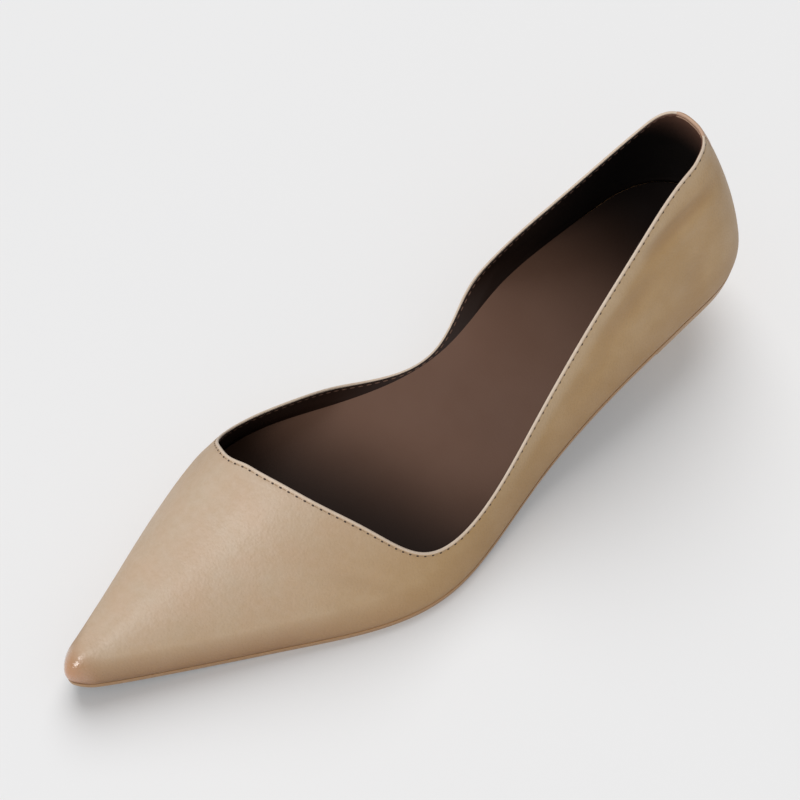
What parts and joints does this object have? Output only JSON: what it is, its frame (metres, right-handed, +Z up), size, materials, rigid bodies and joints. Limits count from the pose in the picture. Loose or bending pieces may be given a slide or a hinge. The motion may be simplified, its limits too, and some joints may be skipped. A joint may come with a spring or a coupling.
{
  "type": "kitten heel shoe",
  "caption": "Slip-on pointed court shoe for the left foot: hollow leather upper with a slanted throat and low-cut arch, thin sole and a low waisted heel.",
  "frame": {"origin": "on the floor, under the middle of the shoe's outline", "axes": "+Z up from the floor, +Y from the toe towards the heel, +X towards the outer (lateral) side of the left foot"},
  "size_m": [0.0857, 0.2544, 0.089],
  "materials": {
    "upper": "smooth beige leather, soft sheen",
    "outsole": "matte dark brown",
    "insole": "matte brown lining leather",
    "heel": "smooth beige leather cover",
    "top_piece": "matte dark rubber"
  },
  "bodies": {
    "root": {"upper": "upper", "outsole": "outsole", "insole": "insole", "heel": "heel", "top_piece": "top_piece"}
  },
  "joints": []
}
